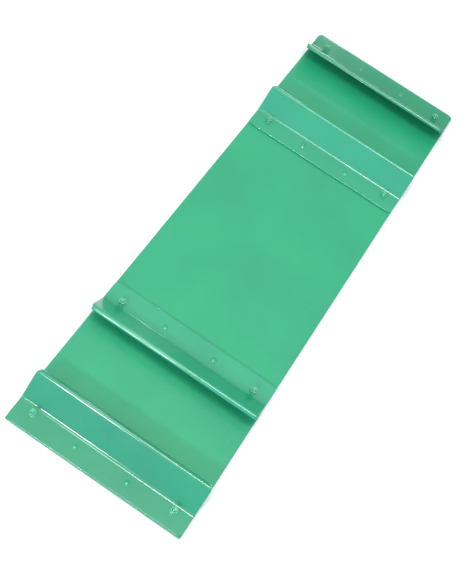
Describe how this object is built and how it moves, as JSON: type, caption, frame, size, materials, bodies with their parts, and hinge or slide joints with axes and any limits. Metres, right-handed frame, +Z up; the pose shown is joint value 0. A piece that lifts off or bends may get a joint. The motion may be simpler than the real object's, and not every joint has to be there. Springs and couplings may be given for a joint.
{
  "type": "straight slide",
  "caption": "Flat straight slide bed with bent cross brackets bolted and riveted to its back, in facing pairs that form cross channels.",
  "frame": {"origin": "under the middle of the bed, on the plane of the smooth sliding face, on which the slide lies with its brackets up", "axes": "+X across the bed, +Y along the bed from the near end to the far end, +Z up, away from the sliding face"},
  "size_m": [0.36, 1.16, 0.0471],
  "materials": {
    "panel_paint": "gloss",
    "bracket_paint": "gloss",
    "fastener_paint": "gloss"
  },
  "bodies": {
    "root": {"slide_panel": "panel_paint", "near_end_bracket": "bracket_paint", "near_inner_bracket": "bracket_paint", "far_inner_bracket": "bracket_paint", "far_end_bracket": "bracket_paint", "near_end_left_screw": "fastener_paint", "near_end_left_washer": "fastener_paint", "near_end_left_nut": "fastener_paint", "near_end_left_rivet": "fastener_paint", "near_end_right_screw": "fastener_paint", "near_end_right_washer": "fastener_paint", "near_end_right_nut": "fastener_paint", "near_end_right_rivet": "fastener_paint", "near_inner_left_screw": "fastener_paint", "near_inner_left_washer": "fastener_paint", "near_inner_left_nut": "fastener_paint", "near_inner_left_rivet": "fastener_paint", "near_inner_right_screw": "fastener_paint", "near_inner_right_washer": "fastener_paint", "near_inner_right_nut": "fastener_paint", "near_inner_right_rivet": "fastener_paint", "far_inner_left_screw": "fastener_paint", "far_inner_left_washer": "fastener_paint", "far_inner_left_nut": "fastener_paint", "far_inner_left_rivet": "fastener_paint", "far_inner_right_screw": "fastener_paint", "far_inner_right_washer": "fastener_paint", "far_inner_right_nut": "fastener_paint", "far_inner_right_rivet": "fastener_paint", "far_end_left_screw": "fastener_paint", "far_end_left_washer": "fastener_paint", "far_end_left_nut": "fastener_paint", "far_end_left_rivet": "fastener_paint", "far_end_right_screw": "fastener_paint", "far_end_right_washer": "fastener_paint", "far_end_right_nut": "fastener_paint", "far_end_right_rivet": "fastener_paint"}
  },
  "joints": []
}
